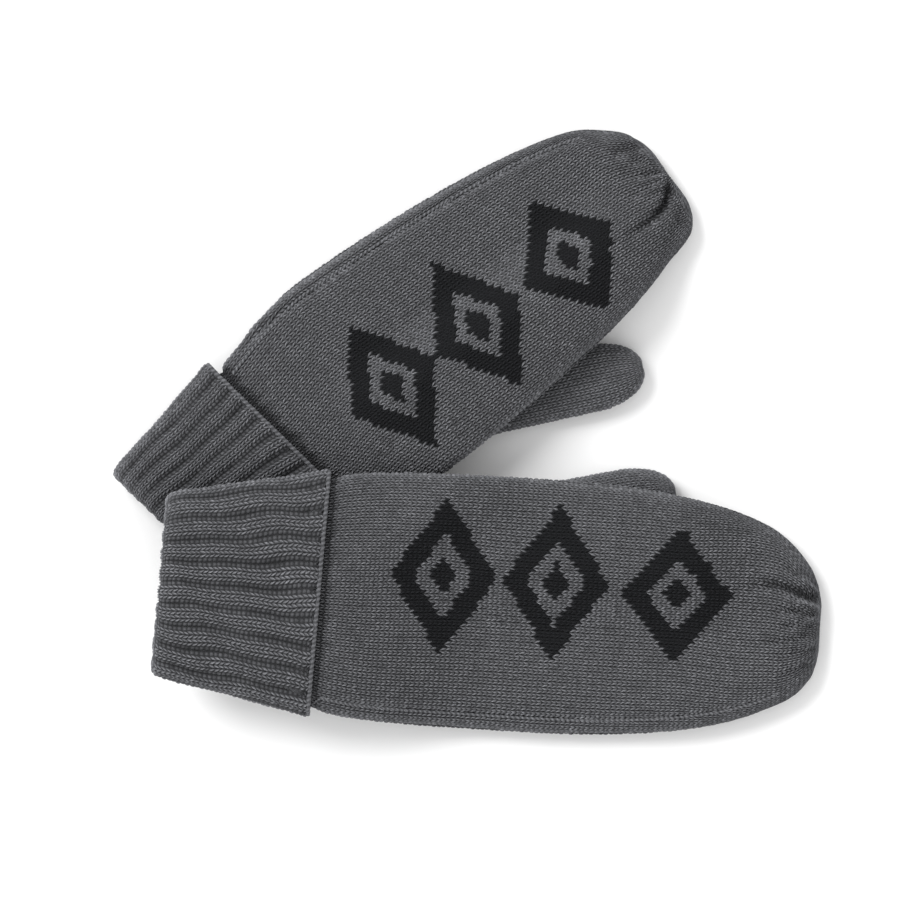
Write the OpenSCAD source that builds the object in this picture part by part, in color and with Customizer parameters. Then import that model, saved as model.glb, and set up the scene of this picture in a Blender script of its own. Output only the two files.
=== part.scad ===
// A pair of knitted mittens lying palm down, the right one resting on the left one's cuff.
// Each mitten has its own frame: u runs from the edge of the turned-up cuff to the fingertips,
// v runs towards the thumb and z is up, with the resting surface at z = 0.

/* [Hands] */
// Length of the right hand, from the cuff's edge to the tip
right_length = 207; // [200:1:212]
// Length of the left hand, from the cuff's edge to the tip
left_length = 191.5; // [188:0.5:196]
// Half the greatest width of the right hand
right_half_width = 52.3; // [50:0.1:54]
// Half the greatest width of the left hand
left_half_width = 50; // [48:0.1:52]
// Thickness of a hand lying flat
hand_thick = 18; // [17:0.5:20]
// Thickness of the knitted wall of hands and thumbs
wall = 2.4; // [2:0.1:2.8]

/* [Cuffs] */
// Length of the right cuff as turned up
right_cuff_length = 65.5; // [60:0.5:70]
// Length of the left cuff as turned up
left_cuff_length = 60.5; // [56:0.5:66]
// Half the width of a cuff at its fold
cuff_fold_half = 38; // [36:0.5:40]
// Half the width of a cuff at its free edge
cuff_edge_half = 51; // [50.8:0.1:53]
// Thickness of a cuff lying flat, over all four layers
cuff_thick = 21; // [20.5:0.1:21.2]
// Thickness of the turned-up rib layer
band_wall = 3.4; // [3:0.1:3.6]
// Thickness of the inner rib layer
liner_wall = 2.8; // [2.4:0.1:3]

/* [Thumbs] */
// Length of a thumb from the middle of its root to its tip
thumb_length = 81; // [76:1:84]
// Half the width of a thumb
thumb_half = 13.8; // [13:0.1:14.5]
// Thickness of a thumb lying flat
thumb_thick = 12; // [11:0.2:12.2]

/* [Motif] */
// Width of the black lines of the motif
motif_line = 8; // [6:0.5:9]
// How far a black patch stands proud of the hand
motif_thick = 0.8; // [0.6:0.1:1]

/* [Hidden] */

// Colours of the two yarns
grey = [0.36, 0.37, 0.38];
dark_grey = [0.30, 0.31, 0.32];
black = [0.13, 0.13, 0.14];

// Where each mitten lies: its cuff edge's middle, and the turn of its axis
left_place = [-74.07, -3.86];
right_place = [-60.97, -66.86];
left_turn = 36;
right_turn = -3.4;

// Where a hand is widest, how much it narrows from there to the tip, and how square the tip is
left_shape = [35, 0.23, 4];
right_shape = [87, 0.09, 3];
// How much a hand narrows where it comes out of the cuff, and over what length that fades
wrist_pinch = 0.1;
wrist_fade = 18;
// How far the left cuff's ends lean, its shift towards the thumb, and where both have faded
left_skew = 0.17;
left_shift = 6.3;
right_skew = 0.03;
wrist_straight = 40;

clear = 0.5;            // room between two layers that slide on each other
split = 0.3;            // room between the two sides of a fold
hand_start = -8;        // where the hand's tube begins, inside the cuff
knuckle_at = [112, 120];// the fold line across each hand, left and right
tip_at = 0.97;          // where the drawn-in tip begins, as a share of the tapering length
squareness = 2.6;       // of the hand's and cuff's cross section
flatten = 1.1;          // how much the underside is pressed flat
sides = 48;             // points around a hand or cuff
seam_side = 21;         // the point where the seam's strip begins
ring_step = 6;          // greatest distance between two rings of points along a hand
lip = 3;                // thickness of the cuff's fold

cuff_inner_thick = cuff_thick - 2 * (band_wall + clear);
cuff_inner_base = band_wall + clear;
right_rise = cuff_thick + clear; // how far the right cuff lies above the surface
cuff_droop = 5;         // how far the right cuff's outer edge hangs down
drape_length = 75;      // over which the right hand comes down to the surface
drape_follow = 45;      // how much farther the thumb side stays up

thumb_root = [[62, 30], [66, 30]];   // left and right, as u and v
thumb_turn = [23.5, 14];
thumb_back = 15;        // how far the thumb's pouch reaches behind its root
thumb_round = 24;       // length of the rounded thumb tip
thumb_sides = 24;
palm_rise = thumb_thick + clear;     // the palm lies on the thumb
collar_r = 11.5;
seam_r = 13;
collar_bore_r = 9.4;

seam_gap = 0.15;        // between the seam's strip and the hand
seam_top = 1.1;         // how far the seam's strip stands out
motif_gap = 1.35;       // between a patch's back and the hand
// Each diamond of the motif: u and v of its middle, and half its length and width
left_hand_motifs = [[47, 8, 16, 24], [90, 8, 16, 24]];
left_finger_motifs = [[137, 7, 17, 21]];
right_hand_motifs = [[50, 10, 17, 25], [96, 10, 17, 25]];
right_finger_motifs = [[146, 8, 18, 22]];
motif_steps = 7;        // points along each side of a diamond
heart_half = 5.5;       // half the length of the small diamond in the middle

function pw(x, e) = sign(x) * pow(abs(x), e);
function clamp01(x) = min(1, max(0, x));
function ease(a, b, x) = let (t = clamp01((x - a) / (b - a))) t * t * (3 - 2 * t);
function is_left(m) = m == 0;
function length_of(m) = is_left(m) ? left_length : right_length;
function shape_of(m) = is_left(m) ? left_shape : right_shape;
function widest_of(m) = is_left(m) ? left_half_width : right_half_width;
function cuff_of(m) = is_left(m) ? left_cuff_length : right_cuff_length;
function skew_of(m, u) = (is_left(m) ? left_skew : right_skew) * (1 - ease(0, wrist_straight, u));
function shift_of(m, u) = is_left(m) ? left_shift * (1 - ease(0, wrist_straight, u)) : 0;
function taper_at(m, u) = let (s = shape_of(m)) max(0, (u - s[0]) / (length_of(m) - s[0]));
function tip_u(m, share) = let (s = shape_of(m)) s[0] + share * (length_of(m) - s[0]);

// Half the width, the thickness and the height of the underside of a hand at u
function hand_half(m, u) = let (s = shape_of(m), e = min(1, taper_at(m, u)))
    widest_of(m) * (1 - wrist_pinch * exp(-u / wrist_fade)) * (1 - s[1] * pow(e, 1.5))
    * pow(1 - pow(e, s[2]), 1 / s[2]);
function hand_t(m, u) = let (e = min(1, taper_at(m, u)))
    (cuff_inner_thick + (hand_thick - cuff_inner_thick) * ease(0, 35, u))
    * sqrt(1 - pow(e, 7));
function hand_base(m, u) = cuff_inner_base * (1 - ease(0, 30, u))
    + 0.35 * (hand_thick - hand_t(m, u)) * ease(0.3, 1, taper_at(m, u));

// How far the wool at u, v is raised by the thumb below it, and by the other mitten's cuff
function thumb_lift(u, v) = palm_rise * ease(-12, 17, v) * (ease(14, 52, u) - ease(146, 182, u));
function cuff_lift(u, v) = let (start = drape_follow * ease(0, 45, v))
    (right_rise - cuff_droop * ease(30, 60, -v)) * (1 - ease(start, start + drape_length, u));
function lift(m, u, v) = is_left(m) ? thumb_lift(u, v)
    : pow(pow(thumb_lift(u, v), 3) + pow(cuff_lift(u, v), 3), 1 / 3);

// A point of the mitten, from its place in an upright tube
function laid(m, u, v, z) = let (u1 = u + skew_of(m, u) * v, v1 = v + shift_of(m, u))
    [u1, v1, z + lift(m, u1, v1)];

// Cross section of a flattened tube: half the width, thickness and inset from its surface
function oval(half, thick, inset, angle) = let (c = cos(angle),
    s = pw(max(0, 1 - pow(abs(c), squareness)), 1 / squareness))
    [(half - inset) * c, angle <= 180
        ? thick / 2 + (thick / 2 - inset) * s
        : max(inset, thick / 2 - (thick / 2 + flatten - inset) * s)];
function oval_ring(m, u, half, thick, base, inset) = [for (i = [0 : sides - 1])
    let (p = oval(half, thick, inset, 360 * i / sides)) laid(m, u, p[0], base + p[1])];
function hand_ring(m, u, inset) =
    oval_ring(m, u, hand_half(m, u), hand_t(m, u), hand_base(m, u), inset);
function cuff_half(m, u) =
    cuff_edge_half + (cuff_edge_half - cuff_fold_half) * u / cuff_of(m);
function cuff_ring(m, u, inset) = oval_ring(m, u, cuff_half(m, u), cuff_thick, 0, inset);

// Places from a to b, no more than ring_step apart
function places(a, b) = let (n = ceil((b - a) / ring_step)) [for (i = [0 : n]) a + (b - a) * i / n];
function hand_places(m) = places(hand_start, knuckle_at[m]);
// Rings crowd towards the tip, where the outline turns
function finger_places(m) = let (a = knuckle_at[m] + split, b = tip_u(m, tip_at), n = 12)
    [for (i = [0 : n]) a + (b - a) * sin(90 * i / n)];
function back(list) = [for (i = [len(list) - 1 : -1 : 0]) list[i]];
function flat(rings) = [for (r = rings) each r];

// Side faces between ring a and ring b of n points each
function band_faces(a, b, n) = [for (i = [0 : n - 1]) let (j = (i + 1) % n)
    each [[a * n + i, b * n + i, a * n + j], [a * n + j, b * n + i, b * n + j]]];

// A closed ring-shaped solid through rings of points, the last one joined to the first
module ring_solid(rings) {
    n = len(rings[0]);
    k = len(rings);
    polyhedron(flat(rings), [for (a = [0 : k - 1]) each band_faces(a, (a + 1) % k, n)]);
}

// A solid through rings of points, closed at both ends
module capped_solid(rings) {
    n = len(rings[0]);
    k = len(rings);
    polyhedron(flat(rings), concat([[for (i = [0 : n - 1]) i]],
        [for (a = [0 : k - 2]) each band_faces(a, a + 1, n)],
        [[for (i = [n - 1 : -1 : 0]) (k - 1) * n + i]]));
}

// Puts a mitten's own frame where that mitten lies
module lay(m) {
    p = is_left(m) ? left_place : right_place;
    translate([p[0], p[1], 0]) rotate(is_left(m) ? left_turn : right_turn)
        mirror([0, is_left(m) ? 1 : 0, 0]) children();
}

module knitted_tube(m, at) {
    ring_solid(concat([for (u = at) hand_ring(m, u, 0)], [for (u = back(at)) hand_ring(m, u, wall)]));
}

// The tube of the hand, with the hole in the palm that the thumb is knitted on to
module hand_shell(m) {
    r = thumb_root[m];
    color(grey) lay(m) difference() {
        knitted_tube(m, hand_places(m));
        translate([r[0], r[1], 0]) cylinder(r = seam_r, h = lift(m, r[0], r[1]) + 10, $fn = 64);
    }
}

module finger_shell(m) {
    color(grey) lay(m) knitted_tube(m, finger_places(m));
}

// The last stitches, drawn together over the end of the fingers
module tip_gather(m) {
    color(dark_grey) lay(m) capped_solid([for (e = [tip_at, 0.985, 0.995, 0.999])
        hand_ring(m, tip_u(m, e), 0)]);
}

// The inner rib layer, from the hand's tube to the fold
module cuff_liner(m) {
    at = [hand_start, -cuff_of(m) + lip + split];
    inset = band_wall + clear;
    color(dark_grey) lay(m) ring_solid(concat(
        [for (u = back(at)) cuff_ring(m, u, inset)],
        [for (u = at) cuff_ring(m, u, inset + liner_wall)]));
}

// The turned-up rib layer, with the fold at the wrist end
module cuff_band(m) {
    fold = -cuff_of(m);
    deep = band_wall + clear + liner_wall;
    color(dark_grey) lay(m) ring_solid([
        cuff_ring(m, fold, deep), cuff_ring(m, fold, lip / 2),
        cuff_ring(m, fold + lip / 4, lip / 5), cuff_ring(m, fold + lip, 0),
        cuff_ring(m, -lip / 3, 0), cuff_ring(m, 0, lip / 3),
        cuff_ring(m, 0, band_wall), cuff_ring(m, fold + lip, band_wall),
        cuff_ring(m, fold + lip, deep)]);
}

// A raised strip of linking yarn along the outer edge, above the hand's surface
module seam_strip(m, at) {
    function corner(u, angle, inset) = let (p = oval(hand_half(m, u), hand_t(m, u), inset, angle))
        laid(m, u, p[0], hand_base(m, u) + p[1]);
    step = 360 / sides;
    color(dark_grey) lay(m) capped_solid([for (u = at) [
        corner(u, seam_side * step, -seam_gap), corner(u, seam_side * step, -seam_top),
        corner(u, (seam_side + 1) * step, -seam_top), corner(u, (seam_side + 1) * step, -seam_gap)]]);
}
module hand_seam(m) {
    seam_strip(m, [for (u = hand_places(m)) if (u > 2) u]);
}
module finger_seam(m) {
    seam_strip(m, [for (u = finger_places(m)) if (u < tip_u(m, 0.94)) u]);
}

// The stitches picked up around the hole in the palm
module thumb_seam(m) {
    r = thumb_root[m];
    z = lift(m, r[0], r[1]);
    low = max(palm_rise + 0.2, z - 3);
    color(dark_grey) lay(m) translate([r[0], r[1], low]) difference() {
        cylinder(r = seam_r, h = z + wall + 2 - low, $fn = 64);
        translate([0, 0, -1]) cylinder(r = collar_r + split, h = 2 * hand_thick, $fn = 64);
    }
}

// Half the width of a thumb, s from its root
function thumb_w(s) = s < 0
    ? thumb_half * sqrt(max(0, 1 - pow(-s / thumb_back, 2.4)))
    : let (e = max(0, (s - thumb_length + thumb_round) / thumb_round))
        thumb_half * pow(max(0, 1 - pow(e, 2.3)), 1 / 2.3);
function thumb_t(s) = thumb_thick * sqrt(min(1, thumb_w(s) / thumb_half));
function thumb_ring(s, inset) = [for (i = [0 : thumb_sides - 1])
    let (p = oval(thumb_w(s), thumb_t(s), inset, 360 * i / thumb_sides))
    [s, p[0], (thumb_thick - thumb_t(s)) * 0.4 + p[1]]];
function thumb_places(inset) = concat([for (a = [78 : -18 : 6]) (inset - thumb_back) * sin(a)],
    [for (s = [0 : 11 : 55]) s],
    [for (a = [8 : 12 : 80]) thumb_length - thumb_round + (thumb_round - inset) * sin(a)]);

// The knitted thumb: a pouch with a collar that stands up through the hole in the palm
module thumb_shell(m) {
    r = thumb_root[m];
    z = lift(m, r[0], r[1]);
    color(grey) lay(m) translate([r[0], r[1], 0]) rotate(thumb_turn[m]) difference() {
        union() {
            capped_solid([for (s = thumb_places(0)) thumb_ring(s, 0)]);
            translate([0, 0, thumb_thick / 2])
                cylinder(r = collar_r, h = z + wall - thumb_thick / 2, $fn = 64);
        }
        capped_solid([for (s = thumb_places(wall)) thumb_ring(s, wall * 0.85)]);
        translate([0, 0, thumb_thick / 2]) cylinder(r = collar_bore_r, h = 2 * hand_thick, $fn = 64);
    }
}

// The height of the top of the hand at u, v
function top_z(m, u, v) = let (h = hand_half(m, u), t = hand_t(m, u))
    hand_base(m, u) + t / 2 * (1 + pow(max(0, 1 - pow(abs(v) / h, squareness)), 1 / squareness));
function top_point(m, u, v, above) = laid(m, u, v, top_z(m, u, v) + above);

// The point a share t of the way round a diamond
function diamond(d, t, grow) = let (k = floor(t * 4) % 4, f = t * 4 - floor(t * 4),
    corners = [[1, 0], [0, 1], [-1, 0], [0, -1]], p = corners[k] * (1 - f) + corners[(k + 1) % 4] * f)
    [d[0] + p[0] * (d[2] + grow * d[2]), d[1] + p[1] * (d[3] + grow * d[3])];

// A black diamond outline knitted into the back of the hand
module diamond_frame(m, d) {
    grow = motif_line / 2 * sqrt(1 / (d[2] * d[2]) + 1 / (d[3] * d[3]));
    n = 4 * motif_steps;
    ring_solid([for (i = [0 : n - 1]) let (a = diamond(d, i / n, -grow), b = diamond(d, i / n, grow))
        [top_point(m, a[0], a[1], motif_gap), top_point(m, a[0], a[1], motif_gap + motif_thick),
         top_point(m, b[0], b[1], motif_gap + motif_thick),
         top_point(m, b[0], b[1], motif_gap)]]);
}

// The small solid diamond in the middle of an outline
module diamond_heart(m, d) {
    width = heart_half * d[3] / d[2];
    capped_solid([for (i = [-4 : 4]) let (u = d[0] + heart_half * i / 4,
        w = max(0.5, width * (1 - abs(i) / 4)))
        [top_point(m, u, d[1] - w, motif_gap), top_point(m, u, d[1] + w, motif_gap),
         top_point(m, u, d[1] + w, motif_gap + motif_thick),
         top_point(m, u, d[1] - w, motif_gap + motif_thick)]]);
}
module motif(m, diamonds) {
    color(black) lay(m) for (d = diamonds) {
        diamond_frame(m, d);
        diamond_heart(m, d);
    }
}

hand_shell(0);  // left_hand_shell
finger_shell(0);  // left_finger_shell
thumb_shell(0);  // left_thumb_shell
cuff_liner(0);  // left_cuff_liner
cuff_band(0);  // left_cuff_band
hand_seam(0);  // left_hand_seam
finger_seam(0);  // left_finger_seam
thumb_seam(0);  // left_thumb_seam
tip_gather(0);  // left_tip_gather
motif(0, left_hand_motifs);  // left_hand_motif
motif(0, left_finger_motifs);  // left_finger_motif
hand_shell(1);  // right_hand_shell
finger_shell(1);  // right_finger_shell
thumb_shell(1);  // right_thumb_shell
cuff_liner(1);  // right_cuff_liner
cuff_band(1);  // right_cuff_band
hand_seam(1);  // right_hand_seam
finger_seam(1);  // right_finger_seam
thumb_seam(1);  // right_thumb_seam
tip_gather(1);  // right_tip_gather
motif(1, right_hand_motifs);  // right_hand_motif
motif(1, right_finger_motifs);  // right_finger_motif
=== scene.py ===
"""The knitted look of a pair of mittens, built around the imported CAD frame.

Every wall is knitted stitch by stitch as real relief: a grid of small V-shaped stitches is laid
over the mitten's own surface. Sizes are in millimetres in each mitten's own frame: u runs from
the edge of the turned-up cuff to the fingertips, v runs towards the thumb and z is up. Points are
turned into metres in the row frame at the end.
"""

import math

import bpy
import numpy as np
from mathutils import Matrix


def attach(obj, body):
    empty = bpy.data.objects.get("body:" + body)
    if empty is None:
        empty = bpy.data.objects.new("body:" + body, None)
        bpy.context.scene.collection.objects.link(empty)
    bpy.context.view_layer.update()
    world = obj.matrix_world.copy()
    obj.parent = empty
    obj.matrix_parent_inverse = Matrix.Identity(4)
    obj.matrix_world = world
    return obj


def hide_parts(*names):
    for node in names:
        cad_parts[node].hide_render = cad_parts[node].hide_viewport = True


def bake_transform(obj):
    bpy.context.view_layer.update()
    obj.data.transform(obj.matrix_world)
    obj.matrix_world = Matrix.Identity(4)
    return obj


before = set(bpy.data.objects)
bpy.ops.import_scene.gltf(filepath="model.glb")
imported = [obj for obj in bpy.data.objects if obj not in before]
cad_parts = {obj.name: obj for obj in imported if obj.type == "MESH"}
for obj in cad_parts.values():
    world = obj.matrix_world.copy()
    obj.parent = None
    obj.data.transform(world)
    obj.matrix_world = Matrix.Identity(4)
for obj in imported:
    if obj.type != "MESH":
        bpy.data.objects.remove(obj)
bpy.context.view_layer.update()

MM = 0.001
SEED = 11

# --- the mittens' measures, the same as the CAD part's -----------------------------------------
CUFF_FOLD_HALF, CUFF_EDGE_HALF, CUFF_THICK = 38.0, 51.0, 21.0
BAND_WALL, CLEAR, WALL = 3.4, 0.5, 2.4
HAND_THICK, HAND_START = 18.0, -8.0
THUMB_LENGTH, THUMB_HALF, THUMB_THICK, THUMB_BACK, THUMB_ROUND = 81.0, 13.8, 12.0, 15.0, 24.0
WRIST_PINCH, WRIST_FADE, WRIST_STRAIGHT = 0.1, 18.0, 40.0
SQUARENESS, FLATTEN = 2.6, 1.1
CUFF_DROOP, DRAPE_LENGTH, DRAPE_FOLLOW = 5.0, 75.0, 45.0
CUFF_INNER_THICK = CUFF_THICK - 2 * (BAND_WALL + CLEAR)
CUFF_INNER_BASE = BAND_WALL + CLEAR
RIGHT_RISE = CUFF_THICK + CLEAR
PALM_RISE = THUMB_THICK + CLEAR
COLLAR_R, HOLE_R, COLLAR_FLARE = 11.5, 12.6, 1.8
ROOT_GAP = 0.8           # between the thumb's top and the palm above it
TIP_AT = 0.97
TIP_LEANS = 24.0         # length of the tip that leans a little to one side

MITTENS = {
    "left": dict(
        place=(-74.07, -3.86), turn=36.0, mirror=-1, length=191.5, half=50.0, cuff=60.5,
        shape=(35.0, 0.23, 4.0), skew=0.17, shift=6.3, knuckle=112.0, root=(62.0, 30.0),
        thumb_turn=23.5, wales=42, ribs=26, lean=4.5, run_off=2.0, pucker_and_shade=1.5,
        diamonds=[(47, 8, 16, 24), (90, 8, 16, 24), (137, 7, 17, 21)], gather=(191.0, 6.0)),
    "right": dict(
        place=(-60.97, -66.86), turn=-3.4, mirror=1, length=207.0, half=52.3, cuff=65.5,
        shape=(87.0, 0.09, 3.0), skew=0.03, shift=0.0, knuckle=120.0, root=(66.0, 30.0),
        thumb_turn=14.0, wales=44, ribs=20, lean=-2.5, run_off=1.45, pucker_and_shade=0.6,
        diamonds=[(50, 10, 17, 25), (96, 10, 17, 25), (146, 8, 18, 22)], gather=(206.0, 7.0)),
}
MOTIF_LINE, HEART_HALF = 8.0, 5.5

# --- the yarn -----------------------------------------------------------------------------------
COURSE = 2.05            # length of one stitch
LINER_COURSE = 2.95      # longer stitches, where they are hardly seen
RELIEF = 0.95            # depth of the grooves between stitches
ACROSS, ALONG = 3, 4     # faces across one leg of a stitch, and along it
SHEAR = 2.0              # how far a leg slants, in stitches over one stitch's width
SLANT = 0.42             # how far the middle of a leg moves across as it rises
RIB_DEPTH = 1.7
RIB_MIDDLE = 0.31        # where the middle of a raised rib lies, as a share of a rib and furrow
FOLD_SHADE = 0.9         # how much darker the yarn looks for each mm down in a fold
THUMB_LIGHT = 0.4        # the thumbs' knit gets less painted shade, and looks a little lighter
AROUND = 720             # points around a surface's table
ROPE_SIDES = 10          # points around a strand of yarn
SEAM_RADIUS, SEAM_SUNK, SEAM_END = 0.55, 0.25, 0.87
EDGE_AT, EDGE_RADIUS, EDGE_PITCH = 0.35, 0.85, 2.1     # the chain on the cuff's free edge
END_AT, END_LENGTH, END_RADIUS = -45.6, 6.0, 0.28      # the loose end of yarn
LINER_SQUEEZE = 0.55     # the liner's relief, as a share of the usual
THUMB_WALES = (14, 13)   # above and below
COLLAR_SIDES, COLLAR_RINGS, COLLAR_STITCHES = 96, 12, 24
PICKED_UP_R, PICKED_UP_RADIUS, PICKED_UP_SIDES = 12.45, 0.6, 121


def ease(a, b, x):
    t = np.clip((x - a) / (b - a), 0, 1)
    return t * t * (3 - 2 * t)


# --- the mitten's own surface -------------------------------------------------------------------
def taper_at(m, u):
    return np.maximum(0, (u - m["shape"][0]) / (m["length"] - m["shape"][0]))


def tip_u(m, share):
    return m["shape"][0] + share * (m["length"] - m["shape"][0])


def hand_half(m, u):
    _, narrow, square = m["shape"]
    e = np.minimum(1, taper_at(m, u))
    return (m["half"] * (1 - WRIST_PINCH * np.exp(-u / WRIST_FADE)) * (1 - narrow * e**1.5)
            * (1 - e**square) ** (1 / square))


def hand_t(m, u):
    e = np.minimum(1, taper_at(m, u))
    wide = CUFF_INNER_THICK + (HAND_THICK - CUFF_INNER_THICK) * ease(0, 35, u)
    return wide * np.sqrt(1 - e**7)


def hand_base(m, u):
    sunk = 0.35 * (HAND_THICK - hand_t(m, u)) * ease(0.3, 1, taper_at(m, u))
    return CUFF_INNER_BASE * (1 - ease(0, 30, u)) + sunk


def lift(m, u, v):
    """How far the wool is raised by the thumb below it, and by the other mitten's cuff."""
    thumb = PALM_RISE * ease(-12, 17, v) * (ease(14, 52, u) - ease(146, 182, u))
    if m["mirror"] < 0:
        return thumb
    start = DRAPE_FOLLOW * ease(0, 45, v)
    cuff = (RIGHT_RISE - CUFF_DROOP * ease(30, 60, -v)) * (1 - ease(start, start + DRAPE_LENGTH, u))
    return (thumb**3 + cuff**3) ** (1 / 3)


def laid(m, u, v, z):
    straight = 1 - ease(0, WRIST_STRAIGHT, u)
    u1 = u + m["skew"] * straight * v
    v1 = v + m["shift"] * straight + m["lean"] * ease(m["length"] - TIP_LEANS, m["length"], u)
    return np.stack(np.broadcast_arrays(u1, v1, z + lift(m, u1, v1)), -1)


def oval(half, thick, inset, angle):
    c = np.cos(angle)
    s = np.maximum(0, 1 - np.abs(c) ** SQUARENESS) ** (1 / SQUARENESS)
    top = thick / 2 + (thick / 2 - inset) * s
    bottom = np.maximum(inset, thick / 2 - (thick / 2 + FLATTEN - inset) * s)
    return (half - inset) * c, np.where(np.sin(angle) >= 0, top, bottom)


def cuff_half(m, u):
    return CUFF_EDGE_HALF + (CUFF_EDGE_HALF - CUFF_FOLD_HALF) * u / m["cuff"]


def in_row_frame(m, points):
    """From a mitten's own frame in mm to the row frame in metres."""
    a = math.radians(m["turn"])
    u, v = points[..., 0], points[..., 1] * m["mirror"]
    x = m["place"][0] + u * math.cos(a) - v * math.sin(a)
    y = m["place"][1] + u * math.sin(a) + v * math.cos(a)
    return np.stack([x, y, points[..., 2]], -1) * MM


class Surface:
    """A closed tube as a table of points: rows along it, and columns evenly spaced around it."""

    def __init__(self, at, points, outward=1):
        self.at, self.outward = np.asarray(at, float), outward
        self.fold = None        # how deep each point lies in a fold, where that is known; it sets painted shade
        self.set(points)

    def set(self, points):
        self.points = points
        along = np.gradient(points, axis=0)
        around = np.roll(points, -1, 1) - np.roll(points, 1, 1)
        n = np.cross(around, along) * self.outward
        self.normals = n / np.maximum(np.linalg.norm(n, axis=-1, keepdims=True), 1e-9)

    def lengths(self):
        """Mean distance along the broad sides of the tube from its first row to each row."""
        step = np.linalg.norm(np.diff(self.points, axis=0), axis=-1)
        middle = np.abs(np.mod(np.arange(AROUND) / AROUND, 0.5) - 0.25) < 0.17
        return np.concatenate([[0], np.cumsum(step[:, middle].mean(1))])

    def girth(self):
        """Length around the top of the tube at each row."""
        half = self.points[:, :AROUND // 2]
        return np.linalg.norm(np.diff(half, axis=1), axis=-1).sum(1)

    def look_up(self, at, share):
        i = np.interp(at, self.at, np.arange(len(self.at)))
        i0 = np.clip(np.floor(i).astype(int), 0, len(self.at) - 2)
        a = (i - i0)[..., None]
        j = np.mod(share, 1) * self.points.shape[1]
        j0 = np.floor(j).astype(int)
        b = (j - j0)[..., None]
        j0, j1 = j0 % self.points.shape[1], (j0 + 1) % self.points.shape[1]

        def mix(t):
            if t.ndim == 2:
                return mix(t[..., None])[..., 0]
            return ((t[i0, j0] * (1 - b) + t[i0, j1] * b) * (1 - a)
                    + (t[i0 + 1, j0] * (1 - b) + t[i0 + 1, j1] * b) * a)
        n = mix(self.normals)
        self.last_fold = mix(self.fold) if self.fold is not None else 0
        return mix(self.points), n / np.maximum(np.linalg.norm(n, axis=-1, keepdims=True), 1e-9)


def even_ring(make, half, thick, inset):
    """Points of an oval, evenly spaced over its top and then over its underside."""
    n = AROUND // 2
    ring = []
    for first in (0.0, math.pi):
        a = first + np.linspace(0, math.pi, 6 * n + 1)
        p = make(*oval(half, thick, inset, np.clip(a, first + 1e-9, first + math.pi - 1e-9)))
        d = np.concatenate([[0], np.cumsum(np.linalg.norm(np.diff(p, axis=0), axis=1))])
        want = np.arange(n) / n * d[-1]
        ring.append(np.stack([np.interp(want, d, p[:, k]) for k in range(3)], -1))
    return np.concatenate(ring)


def tube(m, places, size, inset=None):
    """Table of a hand or cuff: size(u) gives half the width, the thickness and the base."""
    rows = []
    for k, u in enumerate(places):
        half, thick, base = size(u)
        rows.append(even_ring(lambda y, z, u=u, base=base: laid(m, u, y, base + z), half, thick,
                              0 if inset is None else inset[k]))
    return np.array(rows)


def near_path(u, v, path):
    """Distance from a path of points, and how far along it the nearest point is, 0 to 1."""
    best, share = np.full(np.shape(u), 1e9), np.zeros(np.shape(u))
    n = len(path) - 1
    for k, ((a0, a1), (b0, b1)) in enumerate(zip(path, path[1:])):
        du, dv = b0 - a0, b1 - a1
        t = np.clip(((u - a0) * du + (v - a1) * dv) / (du * du + dv * dv), 0, 1)
        d = np.hypot(u - a0 - t * du, v - a1 - t * dv)
        share = np.where(d < best, (k + t) / n, share)
        best = np.minimum(best, d)
    return best, share


# Creases of each drawn-in tip: a path from its deep end to its shallow one, depth and width
CREASES = {
    "right": [([(207.5, 8), (205.7, 8.8), (201.4, 10.2), (197.6, 11.7), (193.7, 13.1), (190, 14.2),
                (186, 14.6), (181, 14.1), (175, 12.5), (164, 9)], 3.2, 1.8),
              ([(207, 2.6), (196, 4.1), (186, 5)], 1.2, 1.5),
              ([(207.5, -2), (195, -2.1), (184, -3.1)], 0.8, 1.4),
              ([(206.5, -4), (193, -8.3), (185, -9.5), (175, -10)], 1.1, 1.6),
              ([(205, -11), (198, -12.5), (192, -14), (181, -16)], 0.9, 1.6),
              ([(203, -17.3), (195.7, -20.7), (184, -25)], 0.8, 1.8),
              ([(206, 14), (196, 20), (184, 25)], 0.6, 1.8)],
    "left": [([(192.3, 6.5), (191, 7.3), (189, 8.7), (186.8, 10.5), (183.8, 12.9), (180.5, 13.9),
               (176.5, 14.8), (172.5, 15.2), (168.3, 15.1), (164.9, 15.2), (160, 14.7), (151, 13)],
              3.4, 1.8),
             ([(187, -12.5), (181, -15), (174, -15.5)], 1.4, 2.6),
             ([(184, -8), (179.5, -7.7), (172, -7)], 0.8, 2.0),
             ([(189.5, 1), (182, -2.7), (174, -4)], 0.8, 1.6),
             ([(187, 7), (183, 7.7), (179, 5.6), (172, 4)], 0.6, 1.5),
             ([(190, 19), (181, 24), (168, 28)], 0.8, 2.4)],
}
SEAM_AT = 0.885          # where the side seam runs, as a share of half the width
SEAM_GROOVE = 1.1
BEND_BEFORE, BEND_AFTER = 14.0, 30.0      # lengths before and after the knuckles
CUFF_SHADE = 1.7         # painted shade on the wool at the cuff's edge: how deep it looks, as a fold


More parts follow.
